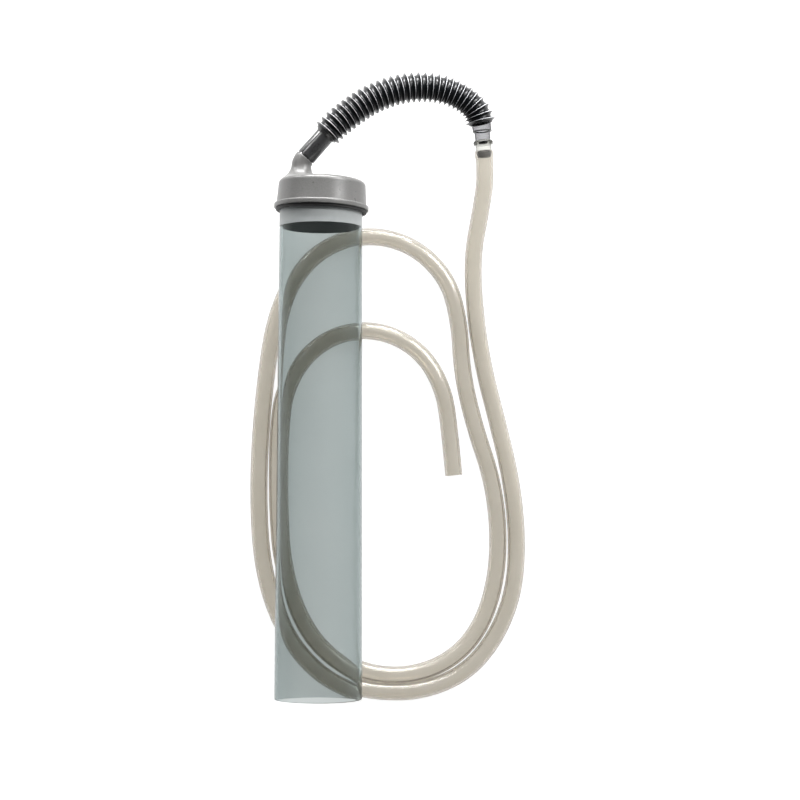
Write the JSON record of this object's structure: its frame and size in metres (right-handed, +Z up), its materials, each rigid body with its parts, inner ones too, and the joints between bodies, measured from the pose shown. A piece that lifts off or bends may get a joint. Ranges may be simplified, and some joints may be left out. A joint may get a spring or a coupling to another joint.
{
  "type": "gravel vacuum siphon",
  "caption": "Clear intake tube with a sealed cap, slotted gravel guard and priming valve, feeding a corrugated non-kink hose and a long clear outlet hose.",
  "frame": {"origin": "centre of the intake mouth, on the axis of the intake tube", "axes": "+Y along the intake tube from its mouth to the cap, +Z up, away from the floor that the siphon lies on, +X towards the coiled hose's far side"},
  "size_m": [0.2041, 0.4667, 0.079],
  "materials": {
    "clear_tube": "clear smoke-tinted rigid plastic",
    "cap_plastic": "fine matte warm dark grey",
    "seal_rubber": "black soft rubber",
    "guard_plastic": "black moulded",
    "valve_plastic": "white moulded",
    "ball_plastic": "polished white",
    "corrugated_plastic": "glossy black",
    "connector_plastic": "smoky grey, glossy",
    "clear_vinyl": "clear flexible vinyl, warm tint"
  },
  "bodies": {
    "cap_and_hoses": {"cap": "cap_plastic", "seal_ring": "seal_rubber", "valve_seat": "valve_plastic", "valve_cage": "valve_plastic", "corrugated_hose": "corrugated_plastic", "hose_connector": "connector_plastic", "clear_hose": "clear_vinyl"},
    "intake": {"intake_tube": "clear_tube"},
    "guard": {"gravel_guard": "guard_plastic"},
    "ball": {"valve_ball": "ball_plastic"}
  },
  "joints": [
    {"name": "tube_pull_off", "type": "slide", "parent": "cap_and_hoses", "child": "intake", "axis": [0, -1, 0], "range_m": [0, 0.04]},
    {"name": "guard_pull_out", "type": "slide", "parent": "cap_and_hoses", "child": "guard", "axis": [0, -1, 0], "range_m": [0, 0.025]},
    {"name": "valve_lift", "type": "slide", "parent": "cap_and_hoses", "child": "ball", "axis": [0, 1, 0], "range_m": [0, 0.002]}
  ]
}
